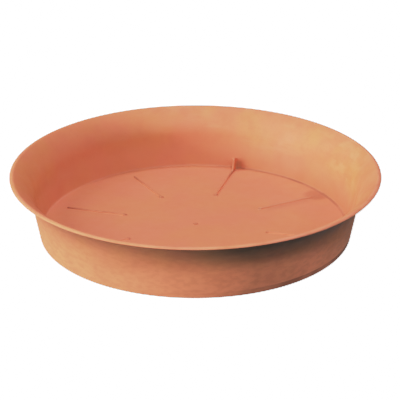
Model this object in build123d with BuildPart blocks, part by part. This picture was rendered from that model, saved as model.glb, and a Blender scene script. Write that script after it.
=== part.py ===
from build123d import *
import os
from math import atan2, cos, degrees, radians, sin, tan

# A round plant saucer, moulded in one shot from thin plastic: a flat floor on a low foot ring, a straight
# wall that leans outward, an upper wall that curves out into a flare, a lip that rolls over, and radial
# ribs on the floor that hold a pot clear of the water. Each feature of the moulding is its own solid, and
# the solids meet face to face where the plastic runs on.
# Lengths are in millimetres and angles in degrees. The saucer's axis is Z and it stands on Z = 0. Azimuths
# are counted from +X towards +Y, and profiles are drawn as (radius, height).

# Overall sizes
rim_diameter = 300.0
total_height = 52.7

# Wall: straight and drafted up to the flare, then curved out to the lip
wall_thickness = 2.3
wall_draft = 10.6
flare_start_share = 0.58
flare_width = 17.4

# Lip: the flare rolls over the top of the rim and stops at a crisp outer edge, where the mould parts
lip_roll_radius = 3.2
lip_edge_tilt = 46.0
lip_edge_land = 0.4
lip_inner_facets = 2
lip_outer_facets = 3

# Foot and floor
foot_height = 1.9
foot_width = 5.0
foot_corner_chamfer = 1.2
floor_thickness = 2.3
floor_cove_width = 1.8
floor_cove_height = 2.8

# Ribs on the floor, each with a round boss at its inner end
rib_count = 8
first_rib_azimuth = 28.5
rib_length = 50.5
rib_wall_gap = 11.4
rib_width = 1.6
rib_height = 1.2
rib_boss_diameter = 3.6
rib_draft = 6.0

# Gusset: the fin that carries one rib on to the wall, with a sloping edge and a top that falls to the wall
gusset_rib_number = 2
gusset_reach = 8.4
gusset_run = 4.0
gusset_height = 11.4
gusset_fall = 3.0
gusset_root_radius = 1.2
gusset_top_radius = 1.6
gusset_wall_gap = 0.2

# Mark left by the moulding gate at the middle of the floor
gate_nub_diameter = 4.0
gate_nub_height = 0.4
gate_nub_chamfer = 0.2

# Heights and radii that follow from these
rim_radius = rim_diameter / 2
wall_slope = tan(radians(wall_draft))
flare_start_height = total_height * flare_start_share
base_radius = rim_radius - flare_width - flare_start_height * wall_slope
wall_width = wall_thickness / cos(radians(wall_draft))
floor_top = foot_height + floor_thickness


def outer_radius(height):
    """Radius of the straight wall's outer face at a height."""
    return base_radius + height * wall_slope


def inner_radius(height):
    """Radius of the straight wall's inner face at a height."""
    return outer_radius(height) - wall_width


floor_radius = inner_radius(floor_top) - floor_cove_width
cove_top = floor_top + floor_cove_height
rib_outer_radius = floor_radius - rib_wall_gap
rib_inner_radius = rib_outer_radius - rib_length

# The roll's middle is set so that its top is the saucer's top and its outer edge the saucer's rim
lip_overhang = lip_roll_radius * sin(radians(lip_edge_tilt))
lip_centre = Vector(rim_radius - lip_overhang, total_height - lip_roll_radius)


def lip_point(tilt):
    """Point on the roll where its face tilts outward from level by an angle."""
    return lip_centre + Vector(sin(radians(tilt)), cos(radians(tilt))) * lip_roll_radius


# The flare's inner face is an arc, tangent to the wall at its foot and to the roll at its end. Its middle
# is as far from the roll's middle as the two radii differ, which gives its radius.
wall_direction = Vector(sin(radians(wall_draft)), cos(radians(wall_draft)))
wall_outward = Vector(cos(radians(wall_draft)), -sin(radians(wall_draft)))
flare_inner_start = Vector(inner_radius(flare_start_height), flare_start_height)
flare_outer_start = Vector(outer_radius(flare_start_height), flare_start_height)
flare_reach = flare_inner_start - lip_centre
flare_offset = flare_reach.dot(wall_outward) + lip_roll_radius
flare_radius = (lip_roll_radius**2 - flare_reach.dot(flare_reach)) / (2 * flare_offset)
flare_centre = flare_inner_start + wall_outward * flare_radius
lip_inward = (lip_centre - flare_centre).normalized()
flare_inner_end = lip_centre + lip_inward * lip_roll_radius
flare_outer_end = flare_inner_end - lip_inward * wall_thickness

# The roll is faceted from the flare's end to the top, and from the top to the outer edge
lip_start_tilt = degrees(atan2(lip_inward.X, lip_inward.Y))
lip_tilts = [lip_start_tilt * (1 - step / lip_inner_facets) for step in range(lip_inner_facets)]
lip_tilts += [lip_edge_tilt * step / lip_outer_facets for step in range(lip_outer_facets + 1)]
lip_edge_bottom = lip_point(lip_edge_tilt) - Vector(0, lip_edge_land)
lip_corners = [lip_point(tilt) for tilt in lip_tilts] + [lip_edge_bottom, flare_outer_end]

os.makedirs("parts", exist_ok=True)


def save(part, name):
    """Label a finished solid and write it."""
    part.label = name
    export_step(part, f"parts/{name}.step")


with BuildPart() as foot_ring:
    with BuildSketch(Plane.XZ):
        with BuildLine():
            Polyline(
                (outer_radius(0), 0),
                (outer_radius(foot_height), foot_height),
                (base_radius - foot_width, foot_height),
                (base_radius - foot_width, 0),
                close=True,
            )
        make_face()
    revolve(axis=Axis.Z)
    chamfer(foot_ring.edges().group_by(Axis.Z)[0].sort_by(SortBy.RADIUS)[-1], foot_corner_chamfer)
save(foot_ring.part, "foot_ring")

with BuildPart() as floor_pan:
    with BuildSketch(Plane.XZ):
        with BuildLine():
            Polyline(
                (0, foot_height),
                (outer_radius(foot_height), foot_height),
                (outer_radius(floor_top), floor_top),
                (0, floor_top),
                close=True,
            )
        make_face()
    revolve(axis=Axis.Z)
save(floor_pan.part, "floor_pan")

with BuildPart() as side_wall:
    with BuildSketch(Plane.XZ):
        with BuildLine():
            Polyline(
                (floor_radius, floor_top),
                (outer_radius(floor_top), floor_top),
                (outer_radius(flare_start_height), flare_start_height),
                (inner_radius(flare_start_height), flare_start_height),
                (inner_radius(cove_top), cove_top),
                close=True,
            )
        make_face()
    revolve(axis=Axis.Z)
save(side_wall.part, "side_wall")

with BuildPart() as flared_rim:
    with BuildSketch(Plane.XZ):
        with BuildLine():
            TangentArc(flare_outer_start, flare_outer_end, tangent=wall_direction)
            Line(flare_outer_end, flare_inner_end)
            TangentArc(flare_inner_start, flare_inner_end, tangent=wall_direction)
            Line(flare_inner_start, flare_outer_start)
        make_face()
    revolve(axis=Axis.Z)
save(flared_rim.part, "flared_rim")

with BuildPart() as rim_lip:
    with BuildSketch(Plane.XZ):
        with BuildLine():
            Polyline(lip_corners, close=True)
        make_face()
    revolve(axis=Axis.Z)
save(rim_lip.part, "rim_lip")

rib_azimuths = [first_rib_azimuth + 360 * index / rib_count for index in range(rib_count)]
rib_top_width = rib_width - 2 * rib_height * tan(radians(rib_draft))
upward = Vector(0, 0, 1)


def radial_direction(azimuth):
    """Unit vector that points outward at an azimuth."""
    return Vector(cos(radians(azimuth)), sin(radians(azimuth)), 0)


# Each rib is a drafted bar that starts at the middle of its boss
for number, azimuth in enumerate(rib_azimuths, start=1):
    outward = radial_direction(azimuth)
    boss_middle = outward * rib_inner_radius + upward * floor_top
    with BuildPart() as floor_rib:
        with BuildSketch(Plane(origin=boss_middle, x_dir=upward.cross(outward), z_dir=outward)):
            with BuildLine():
                Polyline(
                    (-rib_width / 2, 0),
                    (rib_width / 2, 0),
                    (rib_top_width / 2, rib_height),
                    (-rib_top_width / 2, rib_height),
                    close=True,
                )
            make_face()
        extrude(amount=rib_length)
        with BuildSketch(Plane(origin=boss_middle, x_dir=outward, z_dir=upward)):
            Circle(rib_boss_diameter / 2)
        extrude(amount=rib_height)
    save(floor_rib.part, f"floor_rib_{number}")

# The gusset starts flush with its rib's end, slopes up to a rounded crown, falls towards the wall and
# follows it down to the floor
gusset_direction = radial_direction(rib_azimuths[gusset_rib_number - 1])
gusset_plane = Plane(origin=(0, 0, 0), x_dir=gusset_direction, z_dir=gusset_direction.cross(upward))
gusset_radius = floor_radius - gusset_reach
gusset_top = floor_top + gusset_height
gusset_back = gusset_top - gusset_fall
rib_top = floor_top + rib_height
gusset_root = (gusset_radius, rib_top)
gusset_crown = (gusset_radius + gusset_run, gusset_top)
with BuildPart() as wall_gusset:
    with BuildSketch(gusset_plane) as gusset_outline:
        with BuildLine():
            Polyline(
                (rib_outer_radius, floor_top),
                (rib_outer_radius, rib_top),
                gusset_root,
                gusset_crown,
                (inner_radius(gusset_back) - gusset_wall_gap, gusset_back),
                (inner_radius(cove_top) - gusset_wall_gap, cove_top),
                (floor_radius - gusset_wall_gap, floor_top),
                close=True,
            )
        make_face()
        fillet(gusset_outline.vertices().sort_by_distance(gusset_root)[0], gusset_root_radius)
        fillet(gusset_outline.vertices().sort_by_distance(gusset_crown)[0], gusset_top_radius)
    extrude(amount=rib_width / 2, both=True)
save(wall_gusset.part, "wall_gusset")

with BuildPart() as gate_nub:
    with BuildSketch(Plane.XY.offset(floor_top)):
        Circle(gate_nub_diameter / 2)
    extrude(amount=gate_nub_height)
    chamfer(gate_nub.edges().group_by(Axis.Z)[-1], gate_nub_chamfer)
save(gate_nub.part, "gate_nub")
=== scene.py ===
from math import asin, atan2, cos, hypot, pi, radians, sin, tan

import bmesh
import bpy
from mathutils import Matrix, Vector


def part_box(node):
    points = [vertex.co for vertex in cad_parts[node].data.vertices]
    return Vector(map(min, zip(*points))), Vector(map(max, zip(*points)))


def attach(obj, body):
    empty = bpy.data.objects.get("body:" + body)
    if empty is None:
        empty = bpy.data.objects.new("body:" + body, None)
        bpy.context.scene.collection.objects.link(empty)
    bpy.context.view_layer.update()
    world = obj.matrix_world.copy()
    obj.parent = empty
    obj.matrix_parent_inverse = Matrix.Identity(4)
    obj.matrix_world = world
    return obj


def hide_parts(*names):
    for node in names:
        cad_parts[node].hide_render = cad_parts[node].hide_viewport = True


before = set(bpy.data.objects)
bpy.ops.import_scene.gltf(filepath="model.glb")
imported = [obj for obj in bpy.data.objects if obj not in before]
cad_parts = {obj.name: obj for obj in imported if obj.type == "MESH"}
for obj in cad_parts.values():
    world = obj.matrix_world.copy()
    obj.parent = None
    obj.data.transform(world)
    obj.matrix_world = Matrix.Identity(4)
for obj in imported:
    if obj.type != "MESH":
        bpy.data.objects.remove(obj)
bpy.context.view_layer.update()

scene = bpy.context.scene

# A plant saucer of terracotta-coloured plastic: one smooth piece for each CAD node, a weathered plastic
# with painted light and shade, a white stage, soft lamps and the photograph's camera. Lengths are in
# metres, colours are scene linear, and the saucer's axis is Z. Profiles are lists of (radius, height).

# Sizes that the frame doesn't state
WALL_THICKNESS = 0.0023
LIP_ROLL_RADIUS = 0.0032
LIP_EDGE_TILT = radians(46)
LIP_EDGE_ROUND = 0.0003
COVE_RADIUS = 0.0016
FOOT_CORNER_RADIUS = 0.0014
FOOT_INNER_RADIUS = 0.0006
FOOT_WIDTH = 0.005
RIB_HALF_WIDTH = 0.0008
BOSS_RADIUS = 0.0018
RIB_ROOT_FILLET = 0.0005
RIB_TOP_ROUND = 0.00065
RIB_DRAFT = radians(6)
GUSSET_ROOT_RADIUS = 0.0012
GUSSET_CROWN_RADIUS = 0.0016
GUSSET_REACH = 0.0102
GUSSET_RUN = 0.004
GUSSET_HEIGHT = 0.0114
GUSSET_FALL = 0.003
GUSSET_EDGE_ROUND = 0.0004

# How finely the pieces are cut
SEGMENTS = 288
FOOT_CORNER_STEPS = 8
FOOT_INNER_STEPS = 5
FLOOR_STEPS = 12
WALL_STEPS = 8
COVE_STEPS = 10
FLARE_STEPS = 48
LIP_ROLL_STEPS = 36
LIP_EDGE_STEPS = 8
BOSS_STEPS = 30
RIB_END_STEPS = 20
RIB_ROUND_STEPS = 4
GUSSET_ROOT_STEPS = 6
GUSSET_CROWN_STEPS = 10
GUSSET_EDGE_STEPS = 3
GATE_STEPS = 6

# A profile point nearer the axis than this lies on it
ON_AXIS = 1e-9

# Sizes read from the frame
lip_low, lip_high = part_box("rim_lip")
wall_low, wall_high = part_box("side_wall")
foot_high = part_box("foot_ring")[1]
gate_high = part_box("gate_nub")[1]
rib_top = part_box("floor_rib_2")[1].z
rim_radius = min(lip_high.x, lip_high.y, -lip_low.x, -lip_low.y)
rim_top = lip_high.z
flare_start = wall_high.z
floor_top = wall_low.z
foot_top = foot_high.z
foot_top_radius = max(foot_high.x, foot_high.y)
wall_top_radius = max(wall_high.x, wall_high.y)
wall_lean = atan2(wall_top_radius - foot_top_radius, flare_start - foot_top)
wall_width = WALL_THICKNESS / cos(wall_lean)


def outer_radius(height):
    """Radius of the straight wall's outer face at a height."""
    return foot_top_radius + (height - foot_top) * tan(wall_lean)


def inner_radius(height):
    """Radius of the straight wall's inner face at a height."""
    return outer_radius(height) - wall_width


cove_start = inner_radius(floor_top) - COVE_RADIUS * tan((pi / 2 - wall_lean) / 2)


def radial_axes(node):
    """CAD points of a radial node, with unit vectors along and across it in plan."""
    points = [vertex.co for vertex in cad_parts[node].data.vertices]
    middle = sum(points, Vector()) / len(points)
    along = Vector((middle.x, middle.y, 0)).normalized()
    return points, along, Vector((-along.y, along.x, 0))


# Profiles

def arc(centre, radius, start, end, steps):
    """Points on an arc, both ends included."""
    turns = [start + (end - start) * step / steps for step in range(steps + 1)]
    return [(centre[0] + radius * cos(turn), centre[1] + radius * sin(turn)) for turn in turns]


def spread(start, end, steps):
    """Points on a straight run, both ends included."""
    run, rise = end[0] - start[0], end[1] - start[1]
    shares = [step / steps for step in range(steps + 1)]
    return [(start[0] + run * share, start[1] + rise * share) for share in shares]


def tangent_arc(start, end, lean, steps):
    """Points on the arc that leaves its start at a lean from upright, both ends included."""
    chord = (end[0] - start[0], end[1] - start[1])
    half_turn = atan2(*chord) - lean
    radius = hypot(*chord) / (2 * sin(half_turn))
    centre = (start[0] + radius * cos(lean), start[1] - radius * sin(lean))
    return arc(centre, radius, pi - lean, pi - lean - 2 * half_turn, steps)


def rounded(before, corner, after, radius, steps):
    """Points on the arc that rounds the corner between two straight runs."""
    corner = Vector(corner)
    back = (Vector(before) - corner).normalized()
    onward = (Vector(after) - corner).normalized()
    half_angle = back.angle(onward) / 2
    centre = corner + (back + onward).normalized() * (radius / sin(half_angle))
    start = corner + back * (radius / tan(half_angle)) - centre
    end = corner + onward * (radius / tan(half_angle)) - centre
    first = atan2(start.y, start.x)
    turn = (atan2(end.y, end.x) - first + pi) % (2 * pi) - pi
    return arc(centre, radius, first, first + turn, steps)


# Meshes

def turned_rings(shape, profile, segments):
    """Rings of vertices, one for each point of a profile; a point on the axis is one vertex."""
    turns = [2 * pi * segment / segments for segment in range(segments)]
    rings = []
    for radius, height in profile:
        around = turns if radius > ON_AXIS else [0]
        rings.append([shape.verts.new((radius * cos(turn), radius * sin(turn), height)) for turn in around])
    return rings


def join_rings(shape, ring, after):
    """Join two rings by smooth faces; either ring may be one vertex."""
    count = max(len(ring), len(after))
    for here in range(count):
        there = (here + 1) % count
        loop = [ring[here % len(ring)], ring[there % len(ring)]]
        loop += [after[there % len(after)], after[here % len(after)]]
        corners = list(dict.fromkeys(loop))
        if len(corners) > 2:
            shape.faces.new(corners).smooth = True


def sharpen(shape, ring):
    """Shade the two sides of a ring apart."""
    if len(ring) > 1:
        for first, second in zip(ring, ring[1:] + ring[:1]):
            shape.edges.get((first, second)).smooth = False


def add_object(name, data):
    """New object in the scene."""
    thing = bpy.data.objects.new(name, data)
    scene.collection.objects.link(thing)
    return thing


def add_mesh(name, shape, material):
    """New object from a finished bmesh."""
    bmesh.ops.recalc_face_normals(shape, faces=shape.faces)
    mesh = bpy.data.meshes.new(name)
    shape.to_mesh(mesh)
    shape.free()
    mesh.materials.append(material)
    return add_object(name, mesh)


def add_piece(name, shape, node):
    """New piece of the saucer, which stands for a CAD node."""
    piece = add_mesh(name, shape, plastic)
    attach(piece, "root")
    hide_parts(node)


def lathe(name, runs, node):
    """Piece revolved from a closed profile, given as runs that meet at sharp corners."""
    profile, corners = [], []
    for run in runs:
        corners.append(len(profile))
        profile += run[:-1]
    shape = bmesh.new()
    rings = turned_rings(shape, profile, SEGMENTS)
    for ring, after in zip(rings, rings[1:] + rings[:1]):
        join_rings(shape, ring, after)
    for corner in corners:
        sharpen(shape, rings[corner])
    add_piece(name, shape, node)


# Plastic: its node tree and the functions that weave it

plastic = bpy.data.materials.new("terracotta_plastic")
plastic.use_nodes = True
nodes, links = plastic.node_tree.nodes, plastic.node_tree.links
place = nodes.new("ShaderNodeTexCoord").outputs["Object"]
FADE_OUT = (1.0, 0.0)


def feed(value, socket):
    """Link a socket to a node's output, or set it to a constant."""
    if hasattr(value, "links"):
        links.new(value, socket)
    else:
        socket.default_value = value


def vector_math(operation, *vectors):
    """Number worked out from vectors."""
    node = nodes.new("ShaderNodeVectorMath")
    node.operation = operation
    for vector, socket in zip(vectors, node.inputs):
        feed(vector, socket)
    return node.outputs["Value"]


def noise(size, detail, flatten=1.0, offset=0.0):
    """Noise with features of a size; flatten squeezes them in height."""
    mapping = nodes.new("ShaderNodeMapping")
    mapping.inputs["Location"].default_value = (offset, offset, offset)
    mapping.inputs["Scale"].default_value = (1 / size, 1 / size, flatten / size)
    texture = nodes.new("ShaderNodeTexNoise")
    texture.inputs["Scale"].default_value = 1.0
    texture.inputs["Detail"].default_value = detail
    links.new(place, mapping.inputs["Vector"])
    links.new(mapping.outputs["Vector"], texture.inputs["Vector"])
    return texture.outputs["Fac"]


def ramp(value, span, strength=(0.0, 1.0), base=0.0):
    """Strength that changes smoothly as a value crosses a span, which is counted from a base."""
    node = nodes.new("ShaderNodeMapRange")
    node.interpolation_type = "SMOOTHSTEP"
    links.new(value, node.inputs["Value"])
    node.inputs["From Min"].default_value = base + span[0]
    node.inputs["From Max"].default_value = base + span[1]
    node.inputs["To Min"].default_value = strength[0]
    node.inputs["To Max"].default_value = strength[1]
    return node.outputs["Result"]


def patches(size, detail, span, strength=(0.0, 1.0), flatten=1.0, offset=0.0):
    """Strength that comes and goes in patches of noise."""
    return ramp(noise(size, detail, flatten, offset), span, strength)


def times(*values):
    """Product of strengths."""
    product = values[0]
    for value in values[1:]:
        node = nodes.new("ShaderNodeMath")
        node.operation = "MULTIPLY"
        links.new(product, node.inputs[0])
        links.new(value, node.inputs[1])
        product = node.outputs["Value"]
    return product


def blend(factor, under, over):
    """One colour laid over another."""
    node = nodes.new("ShaderNodeMix")
    node.data_type = "RGBA"
    links.new(factor, node.inputs["Factor"])
    feed(under, node.inputs["A"])
    feed(over, node.inputs["B"])
    return node.outputs["Result"]


def bump(texture, strength, depth):
    """Bump node for a texture."""
    node = nodes.new("ShaderNodeBump")
    node.inputs["Strength"].default_value = strength
    node.inputs["Distance"].default_value = depth
    links.new(texture, node.inputs["Height"])
    return node


# Plastic: where a point of it lies; its side is X, which grows to the viewer's right

FACING_OUT = (0.0, 0.02)
FACING_IN = (-0.02, 0.0)
BELOW_FLOOR_TOP = (-0.0003, -0.0001)
OVER_RIB_TOP = (0.0001, 0.0004)
RIB_ROOT = (0.00005, 0.0004)
RIB_LIMIT = (-0.002, -0.001)

coordinates = nodes.new("ShaderNodeSeparateXYZ")
links.new(place, coordinates.inputs["Vector"])
plan = nodes.new("ShaderNodeCombineXYZ")
for axis in ("X", "Y"):
    links.new(coordinates.outputs[axis], plan.inputs[axis])
plan_place = plan.outputs["Vector"]
at_radius = vector_math("LENGTH", plan_place)
at_height = coordinates.outputs["Z"]
at_side = coordinates.outputs["X"]
normal = nodes.new("ShaderNodeNewGeometry").outputs["Normal"]
facing = vector_math("DOT_PRODUCT", normal, plan_place)
outside = ramp(facing, FACING_OUT)
inside = ramp(facing, FACING_IN, FADE_OUT)
up_to_rib_top = ramp(at_height, OVER_RIB_TOP, FADE_OUT, rib_top)
by_floor = times(ramp(at_height, BELOW_FLOOR_TOP, base=floor_top), up_to_rib_top)
within_floor = ramp(at_radius, RIB_LIMIT, FADE_OUT, cove_start)
by_ribs = times(ramp(at_height, RIB_ROOT, base=floor_top), up_to_rib_top, within_floor)

# Plastic: the moulded colour, with clouds, and mottle and streaks that are calmer on the floor and one side

PINK = (0.66, 0.208, 0.108, 1)
YELLOW = (0.645, 0.230, 0.100, 1)
DEEP = (0.56, 0.165, 0.085, 1)
PALE = (0.70, 0.285, 0.150, 1)
CLOUDS = {"size": 0.05, "detail": 3.0, "span": (0.38, 0.62)}
MOTTLE = {"size": 0.014, "detail": 4.0, "offset": 3.0, "span": (0.42, 0.72), "strength": (0.0, 0.45)}
STREAKS = {
    "size": 0.04, "detail": 4.0, "flatten": 5.0, "offset": 7.0,
    "span": (0.5, 0.75), "strength": (0.0, 0.35),
}
SPECKLE = {"size": 0.0016, "detail": 2.0, "span": (0.52, 0.75), "strength": (0.0, 0.18)}
CALM_FLOOR = {"span": (-0.006, 0.002), "strength": (0.4, 1.0)}
CALM_SIDE = {"span": (-0.1, 0.02), "strength": (0.5, 1.0)}


def moulded_colour():
    """Colour of the plastic before it weathers."""
    calm = times(ramp(at_radius, **CALM_FLOOR, base=cove_start), ramp(at_side, **CALM_SIDE))
    colour = blend(patches(**CLOUDS), PINK, YELLOW)
    colour = blend(times(patches(**MOTTLE), calm), colour, DEEP)
    colour = blend(times(patches(**STREAKS), calm), colour, PALE)
    return blend(patches(**SPECKLE), colour, DEEP)


# Plastic: dust in a thin film on the floor and its ribs, and low on the wall's inside

DUST = (0.70, 0.25, 0.15, 1)
FLOOR_FILM = {"size": 0.03, "detail": 3.0, "offset": 29.0, "span": (0.3, 0.6), "strength": (0.27, 0.36)}
WALL_DUST = {"size": 0.025, "detail": 3.0, "offset": 19.0, "span": (0.3, 0.6), "strength": (0.7, 1.0)}
WALL_DUST_HEIGHTS = {"span": (0.034, 0.016), "strength": (0.0, 0.5)}


def dusty(colour):
    """Colour with the dust on it."""
    colour = blend(times(by_floor, patches(**FLOOR_FILM)), colour, DUST)
    low_on_wall = ramp(at_height, **WALL_DUST_HEIGHTS)
    return blend(times(inside, low_on_wall, patches(**WALL_DUST)), colour, DUST)


# Plastic: painted bounce light that makes the outside paler towards the base, and darker blotches

PAINTED_BOUNCE_LIGHT = (1.0, 0.318, 0.162, 1)
PAINTED_BOUNCE_PATCHES = {"size": 0.02, "detail": 4.0, "offset": 13.0, "span": (0.3, 0.6), "strength": (0.75, 1.0)}
PAINTED_BOUNCE_HEIGHTS = {"span": (0.048, 0.005), "strength": (0.0, 0.8)}
BLOTCHES = {
    "size": 0.006, "detail": 4.0, "flatten": 2.0, "offset": 31.0,
    "span": (0.38, 0.66), "strength": (0.0, 0.3),
}


def lit_from_below_and_blotched(colour):
    """Colour with the outside's painted bounce light and blotches."""
    # Painted light from below: the outside paler towards the base, in patches.
    painted_bounce = times(outside, ramp(at_height, **PAINTED_BOUNCE_HEIGHTS), patches(**PAINTED_BOUNCE_PATCHES))
    colour = blend(painted_bounce, colour, PAINTED_BOUNCE_LIGHT)
    return blend(times(outside, patches(**BLOTCHES)), colour, DEEP)


# Plastic: pale scuffs on one side of the flare, a lip roll worn and painted with a highlight, most on one
# side, and painted shade in a line at the lip's edge

LIP_WEAR_AND_HIGHLIGHT = (1.0, 0.35, 0.215, 1)
# Dark colour for the stain and for the painted shade and shadows.
GRIME_AND_SHADE = (0.32, 0.118, 0.066, 1)
SCUFF_PLACE = (0.128, 0.048, 0)
SCUFF_REACH = (0.05, 0.015)
SCUFF_HEIGHTS = (0.018, 0.028)
SCUFFS = {
    "size": 0.014, "detail": 5.0, "flatten": 2.0, "offset": 23.0,
    "span": (0.46, 0.66), "strength": (0.0, 0.5),
}
LIP_WEAR_AND_HIGHLIGHT_BAND = (-0.0045, -0.002)
LIP_WEAR_AND_HIGHLIGHT_PATCHES = {"size": 0.012, "detail": 4.0, "span": (0.3, 0.6), "strength": (0.1, 0.4)}
LIP_WEAR_AND_HIGHLIGHT_SIDE = {"span": (-0.02, 0.08), "strength": (0.45, 1.0)}
LIP_EDGE_SHADE_BAND = (-0.0007, -0.0003)
LIP_EDGE_SHADE_SIDE = {"span": (0.0, 0.08), "strength": (0.0, 0.35)}


def worn_highlit_and_shaded(colour):
    """Colour with the scuffs, the lip's wear and painted highlight, and the painted shade at its edge."""
    near_scuffs = ramp(vector_math("DISTANCE", plan_place, SCUFF_PLACE), SCUFF_REACH)
    scuffs = times(patches(**SCUFFS), near_scuffs, inside, ramp(at_height, SCUFF_HEIGHTS))
    colour = blend(scuffs, colour, PALE)
    # Wear and painted highlight: the lip's roll paler, most on the right.
    on_roll = ramp(at_radius, LIP_WEAR_AND_HIGHLIGHT_BAND, base=rim_radius)
    colour = blend(times(on_roll, patches(**LIP_WEAR_AND_HIGHLIGHT_PATCHES), ramp(at_side, **LIP_WEAR_AND_HIGHLIGHT_SIDE)), colour, LIP_WEAR_AND_HIGHLIGHT)
    # Painted shade: a dark line at the lip's outer edge, most on the right.
    on_edge = ramp(at_radius, LIP_EDGE_SHADE_BAND, base=rim_radius)
    return blend(times(on_edge, ramp(at_side, **LIP_EDGE_SHADE_SIDE)), colour, GRIME_AND_SHADE)


# Plastic: painted shade, a dark band under the lip

SHADE = (0.19, 0.106, 0.066, 1)
SHADE_PATCHES = {
    "size": 0.03, "detail": 3.0, "flatten": 2.0, "offset": 17.0,
    "span": (0.3, 0.6), "strength": (0.6, 1.0),
}
SHADE_HEIGHTS = {"span": (0.019, 0.043), "strength": (0.0, 0.7)}
SHADE_TOP = (-0.0027, -0.0021)
SHADE_SIDE = {"span": (-0.03, 0.05), "strength": (0.2, 1.0)}


def shaded(colour):
    """Colour with the painted shade under the lip."""
    below_lip = ramp(at_height, SHADE_TOP, FADE_OUT, rim_top)
    heights = times(ramp(at_height, **SHADE_HEIGHTS), below_lip)
    # Painted shade: darker under the lip, most on the right.
    under_lip_shade = times(outside, heights, patches(**SHADE_PATCHES), ramp(at_side, **SHADE_SIDE))
    return blend(under_lip_shade, colour, SHADE)


# Plastic: painted shade in a broken line round the floor's edge, mostly on one side, and on the ribs, most
# at their outer ends

FLOOR_LINE = {"size": 0.02, "detail": 3.0, "offset": 5.0, "span": (0.35, 0.6), "strength": (0.45, 0.8)}
FLOOR_LINE_BAND = (-0.0014, -0.0002)
FLOOR_LINE_TOP = (0.0004, 0.0012)
FLOOR_LINE_SIDE = {"span": (0.0, 0.07), "strength": (0.05, 1.0)}
RIB_SHADE_SHARES = (0.7, 0.91)
RIB_SHADE_STRENGTH = (0.32, 0.75)
RIB_SHADE_SIDE = (0.045, 0.07)


def edge_and_rib_shaded(colour):
    """Colour with the painted shade at the floor's edge and on the ribs."""
    # Painted shade in the corner between floor and wall, mostly on the right.
    at_edge = ramp(at_radius, FLOOR_LINE_BAND, base=cove_start)
    low = ramp(at_height, FLOOR_LINE_TOP, FADE_OUT, floor_top)
    line = times(at_edge, low, ramp(at_side, **FLOOR_LINE_SIDE), patches(**FLOOR_LINE))
    colour = blend(line, colour, GRIME_AND_SHADE)
    # Painted shade on the ribs, towards their outer ends, except at the right.
    outward = ramp(at_radius, [share * cove_start for share in RIB_SHADE_SHARES], RIB_SHADE_STRENGTH)
    return blend(times(by_ribs, outward, ramp(at_side, RIB_SHADE_SIDE, FADE_OUT)), colour, GRIME_AND_SHADE)


# Plastic: a water stain, painted shadow beside one rib, painted light on that rib, and painted shadow
# beside the gusset

RIB_PAINTED_LIGHT = (0.62, 0.29, 0.17, 1)
GUSSET_SHADOW = (0.40, 0.19, 0.095, 1)
STAIN_PLACE = (0.103, 0.0588, 0)
STAIN_REACH = {"span": (0.013, 0.007), "strength": (0.0, 0.5)}
STAIN_TOP = (0.0001, 0.0003)
LIT_AND_SHADOWED_RIB = "floor_rib_1"
RIB_SHADOW_FRONT = {"span": (-0.011, -0.002), "strength": (0.0, 0.27)}
RIB_SHADOW_BACK = (0.001, 0.005)
RIB_SHADOW_SIDE = (0.053, 0.066)
RIB_LIGHT_FRONT = (-0.004, -0.002)
RIB_LIGHT_SIDE = {"span": (0.045, 0.06), "strength": (0.0, 0.7)}
GUSSET_SHADOW_PLACE = (0.0375, 0.1195, 0)
GUSSET_SHADOW_REACH = {"span": (0.0045, 0.003), "strength": (0.0, 0.5)}
GUSSET_SHADOW_TOP = (0.005, 0.0075)


def stained_shadowed_and_lit(colour):
    """Colour with the stain, the painted shadows beside a rib and the gusset, and the painted light on that
    rib.
    """
    near_stain = ramp(vector_math("DISTANCE", plan_place, STAIN_PLACE), **STAIN_REACH)
    colour = blend(times(near_stain, ramp(at_height, STAIN_TOP, FADE_OUT, floor_top)), colour, GRIME_AND_SHADE)
    # Painted shadow: a soft dark smear beside one rib.
    off_rib = vector_math("DOT_PRODUCT", plan_place, radial_axes(LIT_AND_SHADOWED_RIB)[2])
    along_rib = times(ramp(off_rib, **RIB_SHADOW_FRONT), ramp(off_rib, RIB_SHADOW_BACK, FADE_OUT))
    colour = blend(times(along_rib, ramp(at_side, RIB_SHADOW_SIDE), by_floor), colour, GRIME_AND_SHADE)
    # Painted light: that rib made paler.
    rib_light = times(by_ribs, ramp(at_side, **RIB_LIGHT_SIDE), ramp(off_rib, RIB_LIGHT_FRONT))
    colour = blend(rib_light, colour, RIB_PAINTED_LIGHT)
    # Painted shadow: a dark patch on the wall and floor beside the gusset.
    near_gusset = ramp(vector_math("DISTANCE", plan_place, GUSSET_SHADOW_PLACE), **GUSSET_SHADOW_REACH)
    return blend(times(near_gusset, ramp(at_height, GUSSET_SHADOW_TOP, FADE_OUT, floor_top)), colour, GUSSET_SHADOW)


# Plastic: the matte surface, with a fine moulded grain over a slight waviness

SPECULAR_LEVEL = 0.3
ROUGHNESS = {"size": 0.01, "detail": 3.0, "offset": 9.0, "span": (0.3, 0.7), "strength": (0.52, 0.66)}
WAVES = {"size": 0.018, "detail": 2.0, "offset": 11.0}
WAVE_STRENGTH = 0.3
WAVE_DEPTH = 0.0006
GRAIN = {"size": 0.0011, "detail": 2.0}
GRAIN_STRENGTH = 0.25
GRAIN_DEPTH = 0.00008

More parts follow.
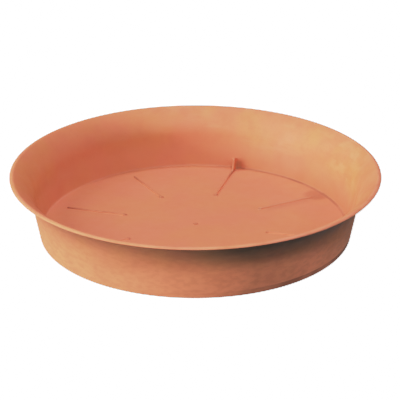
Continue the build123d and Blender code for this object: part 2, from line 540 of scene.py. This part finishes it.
waves = bump(noise(**WAVES), WAVE_STRENGTH, WAVE_DEPTH)
grain = bump(noise(**GRAIN), GRAIN_STRENGTH, GRAIN_DEPTH)
links.new(waves.outputs["Normal"], grain.inputs["Normal"])
weathered_and_painted_colour = stained_shadowed_and_lit(edge_and_rib_shaded(shaded(worn_highlit_and_shaded(lit_from_below_and_blotched(dusty(moulded_colour()))))))
shader = nodes["Principled BSDF"]
shader.inputs["Specular IOR Level"].default_value = SPECULAR_LEVEL
links.new(weathered_and_painted_colour, shader.inputs["Base Color"])
links.new(patches(**ROUGHNESS), shader.inputs["Roughness"])
links.new(grain.outputs["Normal"], shader.inputs["Normal"])

# Foot ring: stands on Z = 0, with rounded bottom corners
base_radius = outer_radius(0)
foot_inner = base_radius - FOOT_WIDTH
outer_corner_reach = FOOT_CORNER_RADIUS * tan((pi / 2 - wall_lean) / 2)
outer_corner_centre = (base_radius - outer_corner_reach, FOOT_CORNER_RADIUS)
outer_corner = arc(outer_corner_centre, FOOT_CORNER_RADIUS, -pi / 2, -wall_lean, FOOT_CORNER_STEPS)
inner_corner_centre = (foot_inner + FOOT_INNER_RADIUS, FOOT_INNER_RADIUS)
inner_corner = arc(inner_corner_centre, FOOT_INNER_RADIUS, -pi, -pi / 2, FOOT_INNER_STEPS)
foot_outer_top = (outer_radius(foot_top), foot_top)
foot_inner_top = (foot_inner, foot_top)
lathe(
    "foot",
    [
        inner_corner + outer_corner + [foot_outer_top],
        [foot_outer_top, foot_inner_top],
        [foot_inner_top, inner_corner[0]],
    ],
    "foot_ring",
)

# Floor: flat, and carried out under the wall
floor_edge = (outer_radius(floor_top), floor_top)
floor_middle = (0, floor_top)
floor_under_middle = (0, foot_top)
lathe(
    "floor",
    [
        [floor_under_middle, foot_inner_top, foot_outer_top],
        [foot_outer_top, floor_edge],
        [floor_edge] + spread((inner_radius(floor_top), floor_top), floor_middle, FLOOR_STEPS),
        [floor_middle, floor_under_middle],
    ],
    "floor_pan",
)

# Wall: drafted, with a cove at the floor
cove = arc((cove_start, floor_top + COVE_RADIUS), COVE_RADIUS, -pi / 2, -wall_lean, COVE_STEPS)
wall_outer_top = (outer_radius(flare_start), flare_start)
wall_inner_top = (inner_radius(flare_start), flare_start)
lathe(
    "wall",
    [
        [cove[0], floor_edge],
        spread(floor_edge, wall_outer_top, WALL_STEPS),
        [wall_outer_top, wall_inner_top],
        spread(wall_inner_top, cove[-1], WALL_STEPS)[:-1] + cove[::-1],
    ],
    "side_wall",
)

# Flare: its inner face is an arc tangent to the wall and to the lip's roll
roll_reach = (LIP_ROLL_RADIUS - LIP_EDGE_ROUND) * sin(LIP_EDGE_TILT) + LIP_EDGE_ROUND
lip_centre = Vector((rim_radius - roll_reach, rim_top - LIP_ROLL_RADIUS))
wall_outward = Vector((cos(wall_lean), -sin(wall_lean)))
flare_reach = Vector(wall_inner_top) - lip_centre
flare_offset = flare_reach.dot(wall_outward) + LIP_ROLL_RADIUS
flare_radius = (LIP_ROLL_RADIUS**2 - flare_reach.length_squared) / (2 * flare_offset)
flare_centre = Vector(wall_inner_top) + wall_outward * flare_radius
lip_inward = (lip_centre - flare_centre).normalized()
flare_inner_end = tuple(lip_centre + lip_inward * LIP_ROLL_RADIUS)
flare_outer_end = tuple(lip_centre + lip_inward * (LIP_ROLL_RADIUS - WALL_THICKNESS))
flare_underside = tangent_arc(wall_outer_top, flare_outer_end, wall_lean, FLARE_STEPS)
flare_inside = tangent_arc(wall_inner_top, flare_inner_end, wall_lean, FLARE_STEPS)
lathe(
    "flare",
    [
        flare_underside,
        [flare_outer_end, flare_inner_end],
        flare_inside[::-1],
        [wall_inner_top, wall_outer_top],
    ],
    "flared_rim",
)

# Lip: rolls over the top and ends at a crisp outer edge with a flat underside
roll_start = atan2(lip_inward.y, lip_inward.x)
roll_end = pi / 2 - LIP_EDGE_TILT
edge_reach = LIP_ROLL_RADIUS - LIP_EDGE_ROUND
edge_centre = lip_centre + Vector((cos(roll_end), sin(roll_end))) * edge_reach
roll = arc(lip_centre, LIP_ROLL_RADIUS, roll_start, roll_end, LIP_ROLL_STEPS)
roll += arc(edge_centre, LIP_EDGE_ROUND, roll_end, -pi / 2, LIP_EDGE_STEPS)[1:]
lathe("lip", [roll, [roll[-1], flare_outer_end], [flare_outer_end, flare_inner_end]], "rim_lip")


# Ribs: each has a root fillet, drafted sides, a rounded top and a round boss at its inner end

def rib_layers(height):
    """How far the rib's plan grows at each height above the floor, as (growth, height)."""
    lean_in = (height - RIB_TOP_ROUND) * tan(RIB_DRAFT)
    root, top = [], []
    for step in range(RIB_ROUND_STEPS + 1):
        turn = pi / 2 * step / RIB_ROUND_STEPS
        root.append((RIB_ROOT_FILLET * (1 - sin(turn)), RIB_ROOT_FILLET * (1 - cos(turn))))
        top.append((-lean_in - RIB_TOP_ROUND * (1 - cos(turn)), height - RIB_TOP_ROUND * (1 - sin(turn))))
    return root + top


def rib_outline(growth, length):
    """Plan of a grown rib, which runs along X from its boss at the origin."""
    half_width = RIB_HALF_WIDTH + growth
    boss_radius = BOSS_RADIUS + growth
    meeting = asin(half_width / boss_radius)
    boss = arc((0, 0), boss_radius, meeting, 2 * pi - meeting, BOSS_STEPS)
    return boss + arc((length - RIB_HALF_WIDTH, 0), half_width, -pi / 2, pi / 2, RIB_END_STEPS)


def rib(name, node):
    """Piece for a rib, placed by its CAD node."""
    points, along, across = radial_axes(node)
    reaches = [point.dot(along) for point in points]
    boss_reach = min(reaches) + BOSS_RADIUS
    length = max(reaches) - boss_reach
    shape = bmesh.new()
    rings = []
    for growth, height in rib_layers(max(point.z for point in points) - floor_top):
        rise = Vector((0, 0, floor_top + height))
        outline = rib_outline(growth, length)
        rings.append([shape.verts.new(along * (boss_reach + x) + across * y + rise) for x, y in outline])
    for ring, after in zip(rings, rings[1:]):
        join_rings(shape, ring, after)
    shape.faces.new(rings[0])
    shape.faces.new(rings[-1]).smooth = True
    add_piece(name, shape, node)


rib_nodes = sorted(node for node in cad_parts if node.startswith("floor_rib_"))
for number, node in enumerate(rib_nodes, start=1):
    rib(f"rib_{number}", node)


# Gusset: a fin that carries one rib on from its end up to the wall

ROUND_BEVEL = 0.5
FLAT_SIDE_LIMIT = 0.99


def gusset_profile(start):
    """Side view of the fin, from the rib's end over the crown to the wall and down the cove."""
    fin_start = inner_radius(floor_top) - GUSSET_REACH
    crown_top = floor_top + GUSSET_HEIGHT
    back_top = crown_top - GUSSET_FALL
    rib_end = (start, rib_top)
    root = (fin_start, rib_top)
    crown = (fin_start + GUSSET_RUN, crown_top)
    back = (inner_radius(back_top), back_top)
    profile = [(start, floor_top), rib_end]
    profile += rounded(rib_end, root, crown, GUSSET_ROOT_RADIUS, GUSSET_ROOT_STEPS)
    profile += rounded(root, crown, back, GUSSET_CROWN_RADIUS, GUSSET_CROWN_STEPS)
    return profile + [back] + cove[::-1]


def gusset(name, node):
    """Piece for the fin, with its upper edges rounded."""
    points, along, across = radial_axes(node)
    profile = gusset_profile(min(point.dot(along) for point in points))
    middle_points = [along * radius + Vector((0, 0, height)) for radius, height in profile]
    shape = bmesh.new()
    sides = []
    for offset in (-across * RIB_HALF_WIDTH, across * RIB_HALF_WIDTH):
        sides.append([shape.verts.new(point + offset) for point in middle_points])
    join_rings(shape, *sides)
    upper_edges = []
    for side in sides:
        shape.faces.new(side)
        upper = side[1:-1]
        upper_edges += [shape.edges.get(pair) for pair in zip(upper, upper[1:])]
    bmesh.ops.recalc_face_normals(shape, faces=shape.faces)
    bmesh.ops.bevel(
        shape,
        geom=upper_edges,
        offset=GUSSET_EDGE_ROUND,
        segments=GUSSET_EDGE_STEPS,
        profile=ROUND_BEVEL,
        affect="EDGES",
        clamp_overlap=True,
    )
    for face in shape.faces:
        face.smooth = abs(face.normal.dot(across)) < FLAT_SIDE_LIMIT
    add_piece(name, shape, node)


gusset("gusset", "wall_gusset")

# Gate mark: a low round nub at the middle of the floor
gate_round = (gate_high.z - floor_top) / 2
gate_edge_centre = (gate_high.x - gate_round, gate_high.z - gate_round)
gate_foot = (gate_high.x, floor_top)
gate_top = (0, gate_high.z)
lathe(
    "gate_mark",
    [
        [floor_middle, gate_foot],
        [gate_foot] + arc(gate_edge_centre, gate_round, 0, pi / 2, GATE_STEPS) + [gate_top],
        [gate_top, floor_middle],
    ],
    "gate_nub",
)

# Stage: a pale flat floor that sweeps up into a wall all round, and lends the saucer no light
STAGE_FLOOR_RADIUS = 6.0
STAGE_SWEEP = 3.0
STAGE_SWEEP_STEPS = 12
STAGE_SEGMENTS = 64
STAGE_GREY = (0.5, 0.5, 0.5, 1)
STAGE_WHITE = (1, 1, 1, 1)
STAGE_GLOW = 1.9
stage_material = bpy.data.materials.new("studio_floor")
stage_material.use_nodes = True
stage_shader = stage_material.node_tree.nodes["Principled BSDF"]
stage_shader.inputs["Base Color"].default_value = STAGE_GREY
stage_shader.inputs["Roughness"].default_value = 1.0
stage_shader.inputs["Specular IOR Level"].default_value = 0.0
stage_shader.inputs["Emission Color"].default_value = STAGE_WHITE
stage_shader.inputs["Emission Strength"].default_value = STAGE_GLOW
sweep_centre = (STAGE_FLOOR_RADIUS, STAGE_SWEEP)
stage_profile = [(0, 0)] + arc(sweep_centre, STAGE_SWEEP, -pi / 2, 0, STAGE_SWEEP_STEPS)
stage_shape = bmesh.new()
stage_rings = turned_rings(stage_shape, stage_profile, STAGE_SEGMENTS)
for ring, after in zip(stage_rings, stage_rings[1:]):
    join_rings(stage_shape, ring, after)
studio_floor = add_mesh("studio_floor", stage_shape, stage_material)
studio_floor.visible_diffuse = False
studio_floor.visible_glossy = False
studio_floor.visible_shadow = False

# Camera: at the photograph's viewing angle
CAMERA_ELEVATION = radians(22.608)
CAMERA_DISTANCE = 1.3416
CAMERA_LENS = 149.12
SENSOR_WIDTH = 36
AIM_RIGHT = 0.00371
AIM_DOWN = 0.02499
rim_middle = Vector((0, 0, rim_top))
view_up = Vector((0, sin(CAMERA_ELEVATION), cos(CAMERA_ELEVATION)))
view_back = Vector((0, -cos(CAMERA_ELEVATION), sin(CAMERA_ELEVATION)))
camera_data = bpy.data.cameras.new("camera")
camera_data.lens = CAMERA_LENS
camera_data.sensor_width = SENSOR_WIDTH
camera = add_object("camera", camera_data)
camera.location = rim_middle + view_back * CAMERA_DISTANCE
aim = rim_middle + Vector((AIM_RIGHT, 0, 0)) - view_up * AIM_DOWN
camera.rotation_euler = (aim - camera.location).to_track_quat("-Z", "Y").to_euler()
scene.camera = camera

# Lamps: round soft ones, each with its azimuth and elevation in degrees, width, power in watts and tint
LAMP_DISTANCE = 2.2
LAMPS = {
    "key_low": (207, 9, 0.35, 48, (1, 0.93, 0.82)),
    "key_high": (192, 36, 1.3, 35, (1, 0.97, 0.84)),
    "front_fill": (285, 50, 0.35, 19, (1, 0.89, 0.92)),
    "front_right": (315, 33, 0.35, 10, (1, 0.89, 0.92)),
    "back_fill": (90, 69, 0.3, 21, (1, 0.76, 0.82)),
    "right_fill": (24, 8, 1.3, 5, (0.9, 1, 0.8)),
}


def add_lamp(name, azimuth, elevation, width, power, tint):
    """Disk lamp that points at the saucer."""
    lamp_data = bpy.data.lights.new(name, "AREA")
    lamp_data.shape = "DISK"
    lamp_data.size = width
    lamp_data.energy = power
    lamp_data.color = tint
    lamp = add_object(name, lamp_data)
    turn, rise = radians(azimuth), radians(elevation)
    towards = Vector((cos(rise) * cos(turn), cos(rise) * sin(turn), sin(rise)))
    lamp.location = Vector((0, 0, rim_top / 2)) + towards * LAMP_DISTANCE
    lamp.rotation_euler = (-towards).to_track_quat("-Z", "Y").to_euler()


for name, settings in LAMPS.items():
    add_lamp(name, *settings)

# World: dark above the horizon, and a faint cool light below it
LIGHT_FROM_BELOW = (0.112, 0.195, 0.245, 1)
world = bpy.data.worlds.new("studio")
world.use_nodes = True
scene.world = world
world_nodes, world_links = world.node_tree.nodes, world.node_tree.links
direction = world_nodes.new("ShaderNodeTexCoord")
direction_split = world_nodes.new("ShaderNodeSeparateXYZ")
below_horizon = world_nodes.new("ShaderNodeMath")
below_horizon.operation = "LESS_THAN"
below_horizon.inputs[1].default_value = 0
background = world_nodes["Background"]
background.inputs["Color"].default_value = LIGHT_FROM_BELOW
world_links.new(direction.outputs["Generated"], direction_split.inputs["Vector"])
world_links.new(direction_split.outputs["Z"], below_horizon.inputs[0])
world_links.new(below_horizon.outputs["Value"], background.inputs["Strength"])

# Tones: highlights roll off, as on film; the points between black and white are (light, tone)
WHITE_LEVEL = 2.0
TONES = [
    (0.3, 0.3),
    (0.5, 0.49),
    (0.65, 0.585),
    (0.8, 0.655),
    (1.0, 0.7),
    (1.25, 0.74),
    (1.5, 0.8),
    (1.8, 0.92),
]
view = scene.view_settings
view.view_transform = "Standard"
view.use_curve_mapping = True
view.curve_mapping.white_level = (WHITE_LEVEL,) * 3
view.curve_mapping.extend = "HORIZONTAL"
combined_curve = view.curve_mapping.curves[3]
for light, tone in TONES:
    combined_curve.points.new(light / WHITE_LEVEL, tone)
view.curve_mapping.update()
